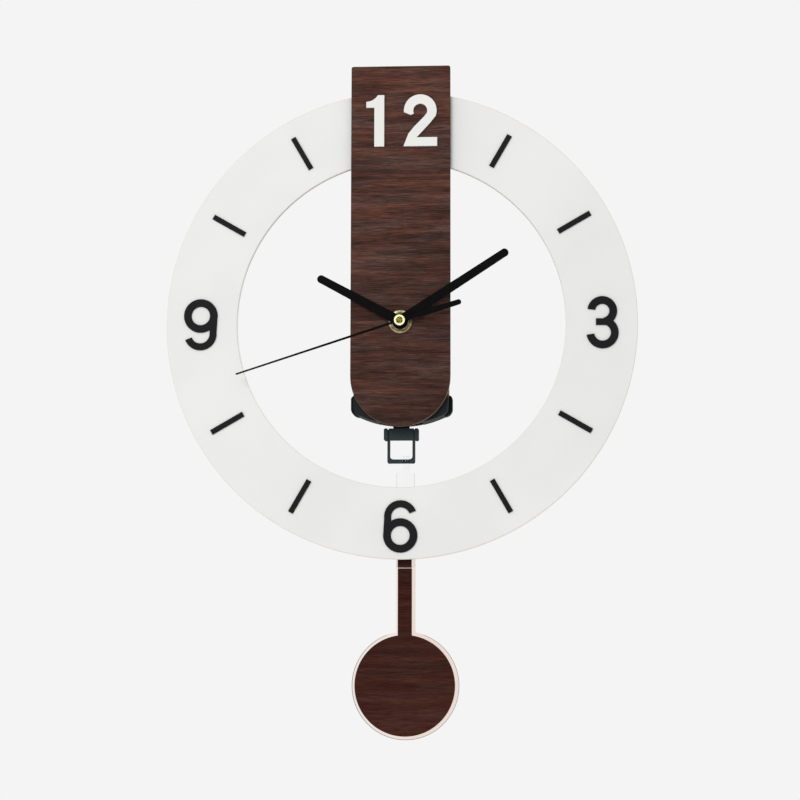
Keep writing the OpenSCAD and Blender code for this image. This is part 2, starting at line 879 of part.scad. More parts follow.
// Thin iron yoke around the rotor that joins both ends of the coil's core
module stator() {
    arm = 4.6;
    eye_r = [5.2, 3.5];
    arm_low = rotor_at[1] - arm / 2;
    color("#8d9094") slab(stator_d[0], stator_d[1]) difference() {
        union() {
            translate(rotor_at) circle(eye_r[0]);
            translate([core_x[0], arm_low]) square([core_x[1] - core_x[0], arm]);
            for (x = [core_x[0], core_x[1] - arm])
                translate([x, arm_low]) square([arm, coil_core_z + core_w / 2 - arm_low]);
        }
        translate(rotor_at) circle(eye_r[1]);
    }
}

// Iron bar through the coil
module coil_core() {
    color("#8d9094") slab(stator_d[1], stator_d[1] + core_t)
        translate([core_x[0], coil_core_z - core_w / 2]) square([core_x[1] - core_x[0], core_w]);
}

// A round bar along X; place is the depth and height of its axis
module round_along_x(from, to, r, place) {
    translate([from, -place[0], place[1]]) rotate([0, 90, 0]) cylinder(h = to - from, r = r);
}

// Winding of the stepping motor, between two flanges, with a slot for the core
module clock_coil() {
    centre = [stator_d[1] + core_t / 2, coil_core_z];
    wound_x = [11, 24];
    flange_w = 0.8;
    slot = [core_t + 0.1, core_w + 0.1];
    color("#b5562c") difference() {
        union() {
            round_along_x(wound_x[0], wound_x[1], 3.4, centre);
            round_along_x(wound_x[0] - flange_w, wound_x[0], 3.7, centre);
            round_along_x(wound_x[1], wound_x[1] + flange_w, 3.7, centre);
        }
        translate([0, -centre[0] - slot[0] / 2, centre[1] - slot[1] / 2])
            cube([40, slot[0], slot[1]]);
    }
}

// Circuit board with its chip under a round drop of resin, and two solder joints
module circuit_board() {
    low_left = [-31, 12.5];
    size = [22.5, 17.5];
    board_d = [3.6, 4.6];
    color("#2f6b3f") slab(board_d[0], board_d[1]) translate(low_left) square(size);
    color("#141414") slab(board_d[1], board_d[1] + 1.4) translate([-20, 21]) circle(3.2);
    color("#c9b36a") for (x = [-28, -12]) bar([x, 15], 0.9, board_d[1], board_d[1] + 0.4);
}

module quartz_crystal() {
    can_r = 1.0;
    color("#b9bcc0") round_along_x(-29, -23.5, can_r, [4.6 + can_r, 27]);
}

module battery_cell() {
    cap_r = 2.7;
    cap_l = 1.3;
    color("#3f4348") {
        round_along_x(cell_x, cell_x + cell_len, cell_r, [cell_d, cell_z]);
        round_along_x(cell_x + cell_len, cell_x + cell_len + cap_l, cap_r, [cell_d, cell_z]);
    }
}

// Coil spring at the flat end of the cell, drawn as stacked turns
module battery_spring() {
    turns = 5;
    pitch = 0.7;
    wire_r = 0.4;
    coil_r = 4.2;
    shrink = 0.3;
    first = contact_size[0] + 0.35;
    base = 0.1 - tray[0] / 2;
    color("#c8cacc") {
        translate([base, -cell_d - contact_size[1] / 2, cell_z - contact_size[2] / 2])
            cube(contact_size);
        for (i = [0:turns - 1])
            translate([base + first + i * pitch, -cell_d, cell_z]) rotate([0, 90, 0])
                rotate_extrude() translate([coil_r - i * shrink, 0]) circle(wire_r, $fn = 16);
    }
}

module battery_contact() {
    plate = [0.7, contact_size[1], contact_size[2]];
    color("#c8cacc") translate([tray[0] / 2 - 0.2 - plate[0], -cell_d - plate[1] / 2,
                                cell_z - plate[2] / 2]) cube(plate);
}

// -------------------------------------------------------------- pendulum

// Flat coil that drives the pendulum, under a thin disc
module pendulum_coil() {
    wound_r = 7.6;
    wound_d = 6.6;
    disc_r = 8.2;
    disc_d = 7.2;
    color("#b5562c") tube([0, coil_z], wound_r, coil_hole_r, cover_t, wound_d);
    color("#e6e4dc") tube([0, coil_z], disc_r, coil_hole_r, wound_d, disc_d);
}

module pendulum_pin() {
    color("#c0c3c7") bar([0, pivot_z], pin_r, pin_d[0], pin_d[1]);
}

module pendulum_magnet() {
    magnet_d = [9.8, 13.2];
    color("#55565a") bar([0, coil_z], pendulum_magnet_r, magnet_d[0], magnet_d[1]);
}

// Lever that swings on the pin and ends in the loop the rod hangs from
module pendulum_lever() {
    block_top = -77.7;
    neck_half = 6.0;
    block_low = -86.8;
    block_half = 12.9;
    block_d = [9.0, 16.2];
    cap_w = 3.0;
    cap_rise = 0.8;
    cap_groove = 0.6;
    groove_deep = 2.4;
    leg_w = 2.0;
    loop_half = 10.3;
    leg_d = [hook_bar_d - hook_bar_r, hook_bar_d + hook_bar_r];
    fillet_r = 2.3;
    hub_r = 3.4;
    hub_d = [8.8, 15.6];
    eye_half = 5.2;
    eye_r = 6.2;
    neck_top = -72;
    bar_end = 0.6;
    color("#2b3537") {
        difference() {
            union() {
                // hub and arm
                bar([0, pivot_z], hub_r, hub_d[0], hub_d[1]);
                slab(lever_d[0], lever_d[1]) {
                    translate([0, coil_z]) circle(eye_r);
                    polygon([[-hub_r, pivot_z], [-eye_half, coil_z], [-neck_half, neck_top],
                             [-neck_half, block_top - 1], [neck_half, block_top - 1],
                             [neck_half, neck_top], [eye_half, coil_z], [hub_r, pivot_z]]);
                }
            }
            bar([0, pivot_z], pin_r + run, hub_d[0] - 1, hub_d[1] + 1);
            bar([0, coil_z], pendulum_magnet_r, lever_d[0] - 1, lever_d[1] + 1);
        }
        // cross block, with a groove and a raised collar at each end
        slab(block_d[0] + cap_rise, block_d[1] - cap_rise)
            translate([cap_w + cap_groove - block_half, block_low + cap_rise / 2])
                square([2 * (block_half - cap_w - cap_groove),
                        block_top - block_low - cap_rise / 2 - eps]);
        slab(block_d[0] + groove_deep, block_d[1] - groove_deep)
            translate([-block_half + 1, block_low + cap_rise])
                square([2 * block_half - 2, block_top - block_low - 2 * cap_rise]);
        for (x = [-1, 1])
            slab(block_d[0], block_d[1])
                translate([x * (block_half - cap_w / 2), (block_top + block_low) / 2])
                    rounded([cap_w, block_top - block_low], 1.2);
        // loop: two legs, rounded lower corners and the round hook bar
        slab(leg_d[0], leg_d[1]) for (x = [-1, 1]) {
            translate([x > 0 ? loop_half - leg_w : -loop_half, hook_bar_z])
                square([leg_w, block_low + 1 - hook_bar_z]);
            translate([x * (loop_half - hook_bar_r), hook_bar_z]) circle(hook_bar_r, $fn = 48);
            translate([x * (loop_half - leg_w), hook_bar_z]) mirror([x > 0 ? 1 : 0, 0]) difference() {
                square([fillet_r, fillet_r + hook_bar_r]);
                translate([fillet_r, fillet_r + hook_bar_r]) circle(fillet_r, $fn = 48);
            }
        }
        round_along_x(bar_end - loop_half, loop_half - bar_end, hook_bar_r,
                      [hook_bar_d, hook_bar_z]);
    }
}

// Everything that hangs on the bar, set to the right of the middle
module on_hook() {
    translate([hook_right, 0, 0]) children();
}

// Clear strip, bent over at the top into a hook
module upper_strip() {
    bend_r = hook_bar_r + hook_gap;
    back_leg = 5;
    shoulder_z = hook_bar_z - 8;
    overlap = 2;
    strip_w = 13.4;
    corner = 1.5;
    color("#e8eef0", 0.4) on_hook() {
        // bend over the bar, with the front and back legs of the hook
        translate([-tongue_w / 2, -hook_bar_d, hook_bar_z]) rotate([90, 0, 90])
            linear_extrude(tongue_w) union() {
                difference() {
                    circle(bend_r + acrylic_t);
                    circle(bend_r);
                    translate([-10, -20]) square([20, 20]);
                }
                translate([bend_r, -back_leg]) square([acrylic_t, back_leg]);
                translate([-bend_r - acrylic_t, shoulder_z - overlap - hook_bar_z])
                    square([acrylic_t, hook_bar_z + overlap - shoulder_z]);
            }
        // wide part down to the splice
        slab(strip_back_d, strip_front_d) translate([0, (shoulder_z + splice_z) / 2])
            rounded([strip_w, shoulder_z - splice_z], corner);
    }
}

// Short veneer on the clear strip, just above the splice
module upper_veneer() {
    length = 41;
    color("#55342c") on_hook() slab(strip_front_d, strip_front_d + veneer_t)
        translate([-rod_veneer_w / 2 - veneer_left, splice_z + splice_gap])
            square([rod_veneer_w, length]);
}

// Rod and disc outline, up to a given height
module bob_2d(r, w, top) {
    translate([0, -bob_drop]) circle(r, $fn = 192);
    translate([-w / 2, -bob_drop]) square([w, top + bob_drop]);
}

// Clear plate of the pendulum, whose rod runs up behind the strip
module lower_plate() {
    top = -146;
    color("#efe6dd", 0.6) on_hook() slab(lower_back_d, lower_front_d) bob_2d(bob_r, rod_w, top);
}

// Veneer on the clear plate, a little to the left of its middle
module lower_veneer() {
    color("#40251f") on_hook() slab(lower_front_d, lower_front_d + veneer_t)
        translate([-veneer_left, 0])
            bob_2d(bob_veneer_r, rod_veneer_w, splice_z - splice_gap);
}

panel_board();
panel_veneer();
mounting_tape();
ring_board();
ring_face();
digit_one_of_12();
digit_two_of_12();
numeral_three();
numeral_six();
numeral_nine();
for (hour = bar_hours)
    hour_bar(hour);
movement_case();
movement_cover();
train_plate();
threaded_bush();
rubber_washer();
brass_washer();
fixing_nut();
hour_hand();
minute_hand();
second_hand();
second_hub();
minute_nut();
second_wheel();
minute_arbor();
centre_wheel();
third_wheel();
fifth_wheel();
rotor_magnet();
rotor_pinion();
motion_wheel();
hour_wheel();
set_knob();
stator();
clock_coil();
coil_core();
circuit_board();
quartz_crystal();
battery_cell();
battery_spring();
battery_contact();
pendulum_coil();
pendulum_lever();
pendulum_magnet();
pendulum_pin();
upper_strip();
upper_veneer();
lower_plate();
lower_veneer();
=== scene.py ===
"""Pendulum wall clock: finishes, fine pieces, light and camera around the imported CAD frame."""

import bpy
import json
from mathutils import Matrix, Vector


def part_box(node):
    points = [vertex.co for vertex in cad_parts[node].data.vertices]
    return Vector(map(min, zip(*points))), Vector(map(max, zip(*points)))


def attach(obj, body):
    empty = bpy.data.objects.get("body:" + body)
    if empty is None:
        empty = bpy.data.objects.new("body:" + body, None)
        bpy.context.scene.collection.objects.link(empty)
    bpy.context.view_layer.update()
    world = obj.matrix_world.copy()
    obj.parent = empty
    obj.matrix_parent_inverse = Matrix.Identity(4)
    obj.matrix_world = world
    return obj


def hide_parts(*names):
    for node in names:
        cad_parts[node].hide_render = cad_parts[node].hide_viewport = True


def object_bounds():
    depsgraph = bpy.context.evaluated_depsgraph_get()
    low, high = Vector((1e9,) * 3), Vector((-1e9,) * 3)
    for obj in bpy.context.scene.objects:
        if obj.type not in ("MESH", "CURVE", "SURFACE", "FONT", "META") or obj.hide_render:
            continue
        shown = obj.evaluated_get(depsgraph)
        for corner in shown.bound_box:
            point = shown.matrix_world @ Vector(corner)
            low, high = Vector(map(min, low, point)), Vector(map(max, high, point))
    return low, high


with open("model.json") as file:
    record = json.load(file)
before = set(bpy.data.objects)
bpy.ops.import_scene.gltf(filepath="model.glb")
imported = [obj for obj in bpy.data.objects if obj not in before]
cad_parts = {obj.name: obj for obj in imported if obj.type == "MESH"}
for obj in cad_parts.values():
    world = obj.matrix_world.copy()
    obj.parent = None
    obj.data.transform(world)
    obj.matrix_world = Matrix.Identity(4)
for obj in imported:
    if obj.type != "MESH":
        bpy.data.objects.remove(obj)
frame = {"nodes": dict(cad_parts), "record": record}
cad_box = [list(corner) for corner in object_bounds()]

import json  # noqa: E402
import math  # noqa: E402

import bmesh  # noqa: E402
import bpy  # noqa: E402
from mathutils import Matrix, Vector  # noqa: E402

MM = 0.001  # metres
scene = bpy.context.scene


# ---------------------------------------------------------------- finishes


def rgb(red, green, blue):
    """An sRGB colour, 0 to 255, as the linear colour that a socket takes."""

    def linear(value):
        value /= 255
        return value / 12.92 if value <= 0.04045 else ((value + 0.055) / 1.055) ** 2.4

    return (linear(red), linear(green), linear(blue), 1.0)


class Finish:
    """One procedural material round a Principled shader, in the object's own metres."""

    def __init__(self, name, rough=0.5, metal=0.0, gloss=0.5):
        self.material = bpy.data.materials.new(name)
        self.material.use_nodes = True
        self.tree = self.material.node_tree
        self.shader = self.tree.nodes["Principled BSDF"]
        self.shader.inputs["Roughness"].default_value = rough
        self.shader.inputs["Metallic"].default_value = metal
        self.shader.inputs["Specular IOR Level"].default_value = gloss
        self.place = self.add("ShaderNodeTexCoord").outputs["Object"]
        self.normal = None

    def add(self, kind, **settings):
        node = self.tree.nodes.new(kind)
        for key, value in settings.items():
            setattr(node, key, value)
        return node

    def feed(self, socket, value):
        """Links an output to the socket, or sets a plain number or colour on it."""
        if isinstance(value, bpy.types.NodeSocket):
            self.tree.links.new(value, socket)
        else:
            socket.default_value = value

    def noise(self, size, stretch=(1, 1, 1), detail=3.0, rough=0.5, shift=0.0, twist=0.0):
        """Noise in blotches about size metres wide, longer along each axis by its stretch."""
        mapping = self.add("ShaderNodeMapping")
        self.feed(mapping.inputs["Vector"], self.place)
        mapping.inputs["Scale"].default_value = [1 / (size * share) for share in stretch]
        mapping.inputs["Location"].default_value = (shift, shift, shift)
        node = self.add("ShaderNodeTexNoise")
        self.feed(node.inputs["Vector"], mapping.outputs["Vector"])
        node.inputs["Scale"].default_value = 1.0
        node.inputs["Detail"].default_value = detail
        node.inputs["Roughness"].default_value = rough
        node.inputs["Distortion"].default_value = twist
        return node.outputs["Fac"]

    def math(self, operation, first, second=0.0):
        node = self.add("ShaderNodeMath", operation=operation)
        self.feed(node.inputs[0], first)
        self.feed(node.inputs[1], second)
        return node.outputs["Value"]

    def weigh(self, *terms):
        """Sum of (value, weight) terms."""
        total = None
        for value, weight in terms:
            term = self.math("MULTIPLY", value, weight)
            total = self.math("ADD", total, term) if total else term
        return total

    def wave(self, value, pitch):
        """Sine wave along the value, one period per pitch in metres."""
        return self.math("SINE", self.math("MULTIPLY", value, math.tau / pitch))

    def span(self, value, low, high, to_low=0.0, to_high=1.0):
        """The value mapped from low..high to to_low..to_high, clamped."""
        node = self.add("ShaderNodeMapRange")
        self.feed(node.inputs["Value"], value)
        for socket, number in zip(
            ("From Min", "From Max", "To Min", "To Max"), (low, high, to_low, to_high)
        ):
            node.inputs[socket].default_value = number
        return node.outputs["Result"]

    def axes(self):
        """The X, Y and Z outputs of the place."""
        node = self.add("ShaderNodeSeparateXYZ")
        self.feed(node.inputs["Vector"], self.place)
        return node.outputs

    def radius(self, across, up):
        """Distance from the axis along Y through the point (across, up)."""
        x, _, z = self.axes()
        dx, dz = self.math("SUBTRACT", x, across), self.math("SUBTRACT", z, up)
        return self.math("SQRT", self.weigh((dx, dx), (dz, dz)))

    def mix(self, factor, first, second):
        node = self.add("ShaderNodeMix", data_type="RGBA")
        self.feed(node.inputs[0], factor)
        self.feed(node.inputs[6], first)
        self.feed(node.inputs[7], second)
        return node.outputs[2]

    def ramp(self, value, *stops):
        """A colour ramp through (place, colour) stops."""
        node = self.add("ShaderNodeValToRGB")
        self.feed(node.inputs["Fac"], value)
        band = node.color_ramp
        band.elements[0].position, band.elements[0].color = stops[0]
        band.elements[1].position, band.elements[1].color = stops[-1]
        for place, colour in stops[1:-1]:
            band.elements.new(place).color = colour
        return node.outputs["Color"]

    def colour(self, value):
        self.feed(self.shader.inputs["Base Color"], value)
        return self

    def rough(self, value, low, high):
        self.feed(self.shader.inputs["Roughness"], self.span(value, 0.3, 0.7, low, high))
        return self

    def soften(self, radius):
        """Rounds the look of the edges by this radius."""
        node = self.add("ShaderNodeBevel", samples=4)
        node.inputs["Radius"].default_value = radius
        self._normal(node.outputs["Normal"])
        return self

    def bump(self, height, depth):
        """Relief of this depth in metres from a height of 0 to 1."""
        node = self.add("ShaderNodeBump")
        self.feed(node.inputs["Height"], height)
        node.inputs["Distance"].default_value = depth
        if self.normal:
            self.feed(node.inputs["Normal"], self.normal)
        self._normal(node.outputs["Normal"])
        return self

    def _normal(self, socket):
        self.normal = socket
        self.feed(self.shader.inputs["Normal"], socket)


def veneer(name, node, dark, middle, light, shift, gloss=0.06, fade=0.0, greying=0.8):
    """Dark wood veneer with level grain: long thin streaks, finer fibres and short pores.

    Shift picks another part of the grain. Fade is how much lighter the node's top is than its
    middle, and a negative fade darkens the top as painted shade. Greying is the saturation that
    the duller patches keep."""
    low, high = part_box(node)
    streak_depth, pore_depth, pore_tint = 0.03 * MM, 0.04 * MM, 0.6
    finish = Finish(name, gloss=gloss)
    bands = finish.noise(5 * MM, (14, 1, 1), detail=2.0, shift=shift, twist=0.3)
    streaks = finish.noise(0.55 * MM, (24, 1, 1), detail=4.0, rough=0.7, shift=shift + 3,
                           twist=0.2)
    fibres = finish.noise(0.25 * MM, (50, 1, 1), detail=2.0, shift=shift + 7)
    pores = finish.span(finish.noise(0.32 * MM, (22, 1, 1), shift=shift + 11), 0.585, 0.645)
    greyed = finish.span(finish.noise(9 * MM, (5, 1, 1), shift=shift + 17), 0.42, 0.62)
    grain = finish.weigh((bands, 0.3), (streaks, 0.5), (fibres, 0.2))
    # tone by height from the fade; where the fade is negative, the darker top is painted shade
    height_tone_and_shade = finish.span(finish.axes()[2], low.z, high.z, -fade, fade)
    tone = finish.math("ADD", grain, height_tone_and_shade)
    wood = finish.ramp(tone, (0.39, dark), (0.5, middle), (0.61, light))
    dull = finish.add("ShaderNodeHueSaturation")
    dull.inputs["Saturation"].default_value = greying
    finish.feed(dull.inputs["Color"], wood)
    wood = finish.mix(greyed, wood, dull.outputs["Color"])
    finish.colour(finish.mix(finish.math("MULTIPLY", pores, pore_tint), wood, dark))
    finish.rough(streaks, 0.5, 0.66)
    finish.bump(streaks, streak_depth)
    finish.bump(finish.math("SUBTRACT", 1.0, pores), pore_depth)
    return finish.material


def fibreboard(finish, pale, deep):
    """Colour of raw fibreboard: matted fibres with a few darker ones."""
    fleck_tint, mat_depth = 0.5, 0.06 * MM
    mat = finish.noise(0.5 * MM, (2, 2, 1), detail=5.0, rough=0.7)
    flecks = finish.span(finish.noise(0.25 * MM, (4, 1, 1), shift=5), 0.6, 0.72)
    board = finish.ramp(mat, (0.3, deep), (0.7, pale))
    finish.bump(mat, mat_depth)
    return finish.mix(finish.math("MULTIPLY", flecks, fleck_tint), board, deep)


def panel_core(name):
    """Board under the veneer: dark lipping on its straight edges, raw on its round foot, but
    darker at the front of the foot's lowest point."""
    low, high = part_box("panel_board")
    lip_from, lip_to, blend = 0.5 * MM, 0.3 * MM, 2 * MM
    foot_dark, foot_dark_from, foot_dark_to = 0.85, 6 * MM, 22 * MM
    finish = Finish(name, rough=0.7, gloss=0.25)
    raw = fibreboard(finish, rgb(152, 124, 88), rgb(110, 86, 60))
    x, _, z = finish.axes()
    round_foot = low.z + (high.x - low.x) / 2
    side = finish.span(finish.math("ABSOLUTE", x), high.x - lip_from, high.x - lip_to)
    top = finish.span(z, high.z - lip_from, high.z - lip_to)
    straight = finish.span(z, round_foot - blend, round_foot + blend)
    lipping = finish.math("MULTIPLY", finish.math("MAXIMUM", side, top), straight)
    # darker toward the middle of the foot's front
    darker_foot = finish.span(finish.math("ABSOLUTE", x), foot_dark_from, foot_dark_to, foot_dark, 0.0)
    front = finish.span(finish.axes()[1], low.y + 0.6 * MM, low.y + 3 * MM, 1.0, 0.0)
    dark_parts = finish.math("MAXIMUM", lipping, finish.math("MULTIPLY", darker_foot, front))
    finish.colour(finish.mix(dark_parts, raw, rgb(44, 34, 30)))
    return finish.material


def ring_core(name):
    """Cream board of the dial ring, whose inner wall is pale at its foot and grey at its top,
    painted shade where the wall faces down.
    """
    low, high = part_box("ring_face")
    wall, blend = 122.05 * MM, 0.1 * MM
    finish = Finish(name, rough=0.65, gloss=0.3)
    pale = fibreboard(finish, rgb(240, 233, 218), rgb(226, 216, 198))
    middle = (low.z + high.z) / 2
    from_middle = finish.radius((low.x + high.x) / 2, middle)
    cut = finish.span(from_middle, wall, wall + blend, 1.0, 0.0)
    # painted shade: the inner wall turns grey toward its top, where it faces down
    upper_shade = finish.span(finish.axes()[2], middle - 40 * MM, middle + 60 * MM)
    wall_shade = finish.mix(upper_shade, rgb(238, 236, 231), rgb(188, 188, 186))
    finish.colour(finish.mix(cut, pale, wall_shade))
    return finish.material


def laminate(name, colour, speck, rough):
    """Smooth pressed laminate with a faint speckle and a shallow orange peel."""
    peel_depth, speck_depth, spread = 0.02 * MM, 0.006 * MM, 0.05
    finish = Finish(name, rough=rough, gloss=0.35)
    peel = finish.noise(1.6 * MM, detail=2.0)
    cloud = finish.noise(60 * MM, detail=2.0, shift=2)
    fine = finish.noise(0.4 * MM, detail=3.0, shift=9)
    tone = finish.weigh((cloud, 0.6), (fine, 0.4))
    finish.colour(finish.ramp(tone, (0.35, speck), (0.6, colour)))
    finish.rough(fine, rough - spread, rough + spread)
    finish.bump(peel, peel_depth).bump(fine, speck_depth)
    return finish.material


def plastic(name, colour, shade, rough, gloss=0.4, grain=0.5, depth=0.02, edge=0.25, wear_and_painted_light=None):
    """Moulded plastic with a spark-eroded grain, faint flow marks and softened edges.

    Grain, depth and edge are in millimetres. The last argument is a lighter colour for what hangs
    below the movement: painted light, as that part is lit most."""
    finish = Finish(name, rough=rough, gloss=gloss)
    finish.soften(edge * MM)
    skin = finish.noise(grain * MM, detail=4.0, rough=0.65)
    flow = finish.noise(14 * MM, (2, 1, 1), detail=2.0, shift=4, twist=0.6)
    tone = finish.weigh((skin, 0.5), (flow, 0.5))
    skin_tone = finish.ramp(tone, (0.3, shade), (0.7, colour))
    # painted light: what hangs below the movement is drawn lighter
    if wear_and_painted_light:
        case_low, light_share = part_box("movement_case")[0].z, 0.8
        lit_below = finish.span(finish.axes()[2], case_low - 3 * MM, case_low - 1 * MM, light_share, 0.0)
        skin_tone = finish.mix(lit_below, skin_tone, wear_and_painted_light)
    finish.colour(skin_tone)
    finish.rough(skin, rough - 0.07, rough + 0.08)
    finish.bump(skin, depth * MM)
    return finish.material


def metal(name, bright, dull, rough, stretch=(1, 1, 1)):
    """Bare metal with tool marks and a slight tarnish."""
    mark_size, mark_depth, edge = 0.25 * MM, 0.006 * MM, 0.1 * MM
    finish = Finish(name, rough=rough, metal=1.0)
    finish.soften(edge)
    marks = finish.noise(mark_size, stretch, detail=4.0, rough=0.6)
    tarnish = finish.noise(3 * MM, detail=3.0, shift=6)
    tone = finish.weigh((marks, 0.35), (tarnish, 0.65))
    finish.colour(finish.ramp(tone, (0.32, dull), (0.62, bright)))
    finish.rough(tarnish, rough - 0.06, rough + 0.12)
    finish.bump(marks, mark_depth)
    return finish.material


def turned(name, bright, dull, rough, pitch, depth):
    """Metal turned on a lathe: fine rings round the axis of the hands, and wider dull ones."""
    edge, dull_pitch, dulling, waver_depth = 0.12 * MM, 1.5 * MM, 0.12, 0.008 * MM
    finish = Finish(name, rough=rough, metal=1.0)
    finish.soften(edge)
    from_axis = finish.radius(0, 0)
    rings = finish.wave(from_axis, pitch)
    waver = finish.noise(0.6 * MM, detail=3.0)
    tarnish = finish.noise(2.4 * MM, detail=4.0, shift=3)
    dull_rings = finish.span(finish.wave(from_axis, dull_pitch), -1, 1, -dulling, dulling)
    wear_and_painted_light = finish.math("ADD", tarnish, dull_rings)
    finish.colour(finish.ramp(wear_and_painted_light, (0.35, dull), (0.62, bright)))
    finish.rough(waver, rough - 0.06, rough + 0.1)
    finish.bump(finish.span(rings, -1, 1), depth).bump(waver, waver_depth)
    return finish.material


def hub_cap(name):
    """Bright turned brass whose sunk middle is olive, nearly black in its notches."""
    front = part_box("second_hub")[0].y
    well_r, edge, pitch, ring_depth, patina_depth = (
        size * MM for size in (2.6, 0.15, 0.3, 0.006, 0.01))
    finish = Finish(name, rough=0.3, metal=1.0)
    finish.soften(edge)
    radius, depth = finish.radius(0, 0), finish.axes()[1]
    sunk = finish.math("MULTIPLY", finish.span(radius, well_r, well_r + 0.1 * MM, 1.0, 0.0),
                       finish.span(depth, front + 0.2 * MM, front + 0.5 * MM))
    patina = finish.noise(0.9 * MM, detail=3.0)
    rim = finish.ramp(patina, (0.3, rgb(190, 188, 146)), (0.7, rgb(214, 212, 172)))
    well = finish.ramp(patina, (0.35, rgb(48, 44, 10)), (0.65, rgb(132, 124, 54)))
    rings = finish.wave(radius, pitch)
    notch = finish.math("MULTIPLY", sunk,
                        finish.span(depth, front + 0.72 * MM, front + 0.82 * MM))
    finish.colour(finish.mix(notch, finish.mix(sunk, rim, well), rgb(20, 18, 6)))
    finish.rough(patina, 0.26, 0.42)
    finish.bump(finish.span(rings, -1, 1), ring_depth).bump(patina, patina_depth)
    return finish.material


def lacquer(name, colour, shade):
    """Matt black lacquer on sheet metal, with a fine dry grain."""
    edge, grain_depth = 0.12 * MM, 0.008 * MM
    finish = Finish(name, rough=0.6, gloss=0.03)
    finish.soften(edge)
    grain = finish.noise(0.2 * MM, detail=3.0, rough=0.7)
    drift = finish.noise(9 * MM, detail=2.0, shift=8)
    tone = finish.weigh((grain, 0.5), (drift, 0.5))
    finish.colour(finish.ramp(tone, (0.35, shade), (0.65, colour)))
    finish.rough(grain, 0.55, 0.7)
    finish.bump(grain, grain_depth)
    return finish.material


def acrylic(name, node, left, right, rim, bend, disc=False):
    """Clear sheet with a faint tint, pinker to the right as painted reflection of the veneer
    behind, whose cut edge shows as a fine line.

    Bend is its index of refraction. The line follows the disc of the node's width at its foot,
    or else the node's two upright sides."""
    low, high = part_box(node)
    middle, half, line = (low.x + high.x) / 2, (high.x - low.x) / 2, 0.45 * MM
    reflection_reach, haze_depth = 7 * MM, 0.004 * MM
    finish = Finish(name, rough=0.03)
    finish.shader.inputs["Transmission Weight"].default_value = 1.0
    finish.shader.inputs["IOR"].default_value = bend
    x, _, z = finish.axes()
    haze = finish.noise(4 * MM, detail=3.0)
    # painted reflection: the tint runs from the left colour to the right one
    tint_and_reflection = finish.mix(finish.span(x, middle - reflection_reach, middle + reflection_reach), left, right)
    if disc:
        edge = finish.span(finish.radius(middle, low.z + half), half - line, half - line / 2)
        neck = low.z + 2 * half - 3 * MM
        edge = finish.math("MULTIPLY", edge, finish.span(z, neck, neck + MM, 1.0, 0.0))
    else:
        aside = finish.math("ABSOLUTE", finish.math("SUBTRACT", x, middle))
        edge = finish.span(aside, half - line, half - line / 2)
    finish.colour(finish.mix(edge, tint_and_reflection, rim))
    finish.rough(haze, 0.02, 0.06)
    finish.bump(haze, haze_depth)
    return finish.material


def winding(name, copper, lacquered, along):
    """Enamelled copper wire laid side by side: rings round Y, or turns along X."""
    wire, ridge_depth, pendulum_coil_z = 0.22 * MM, 0.05 * MM, -60 * MM
    finish = Finish(name, rough=0.32, metal=0.85)
    place = finish.radius(0, pendulum_coil_z) if along == "y" else finish.axes()[0]
    ridges = finish.span(finish.wave(place, wire), -1, 1)
    patch = finish.noise(1.2 * MM, detail=3.0)
    tone = finish.weigh((ridges, 0.5), (patch, 0.5))
    finish.colour(finish.ramp(tone, (0.3, lacquered), (0.7, copper)))
    finish.rough(patch, 0.25, 0.42)
    finish.bump(ridges, ridge_depth)
    return finish.material


def circuit(name):
    """Green solder mask over slanted tracks, and dark resin on what stands out in front."""
    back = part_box("circuit_board")[1].y
    track_rate, track_depth, mottle_depth = 2600, 0.03 * MM, 0.01 * MM
    finish = Finish(name, rough=0.38, gloss=0.5)
    x, y, z = finish.axes()
    slant = finish.math("MULTIPLY", finish.math("ADD", x, z), track_rate)
    tracks = finish.span(finish.math("SINE", slant), 0.35, 0.5)
    mottle = finish.noise(0.8 * MM, detail=3.0)
    green = finish.ramp(mottle, (0.3, rgb(28, 82, 52)), (0.7, rgb(38, 102, 64)))
    mask = finish.mix(tracks, green, rgb(62, 132, 84))
    raised = finish.span(y, back - 1.1 * MM, back - 1.0 * MM, 1.0, 0.0)
    finish.colour(finish.mix(raised, mask, rgb(24, 24, 26)))
    finish.rough(mottle, 0.3, 0.45)
    finish.bump(tracks, track_depth).bump(mottle, mottle_depth)
    return finish.material


def cell_wrap(name):
    """Printed sleeve of a plain battery: a dark body, one pale band and bare steel ends."""
    low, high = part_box("battery_cell")
    blend, wrinkle_depth = 0.1 * MM, 0.01 * MM
    band_from, band_to = low.x + 36 * MM, low.x + 42 * MM
    foot, shoulder = low.x + 0.2 * MM, high.x - 1.6 * MM
    finish = Finish(name, rough=0.3, gloss=0.5)
    x = finish.axes()[0]
    band = finish.math("MULTIPLY", finish.span(x, band_from, band_from + blend),
                       finish.span(x, band_to, band_to + blend, 1.0, 0.0))
    wrinkle = finish.noise(5 * MM, (3, 1, 1), detail=2.0)
    body = finish.ramp(wrinkle, (0.3, rgb(46, 62, 76)), (0.7, rgb(54, 71, 86)))
    sleeve = finish.mix(band, body, rgb(206, 208, 202))
    ends = finish.math("MAXIMUM", finish.span(x, foot, foot + blend, 1.0, 0.0),
                       finish.span(x, shoulder, shoulder + blend))
    finish.colour(finish.mix(ends, sleeve, rgb(196, 198, 200)))
    finish.rough(wrinkle, 0.24, 0.38)
    finish.bump(wrinkle, wrinkle_depth)
    return finish.material


def foam(name):
    """White foam tape with an open-cell edge."""
    cell_depth = 0.05 * MM
    finish = Finish(name, rough=0.8, gloss=0.2)
    cells = finish.noise(0.35 * MM, detail=3.0)
    finish.colour(finish.ramp(cells, (0.3, rgb(206, 203, 194)), (0.65, rgb(240, 238, 230))))
    finish.rough(cells, 0.72, 0.88)
    finish.bump(cells, cell_depth)
    return finish.material


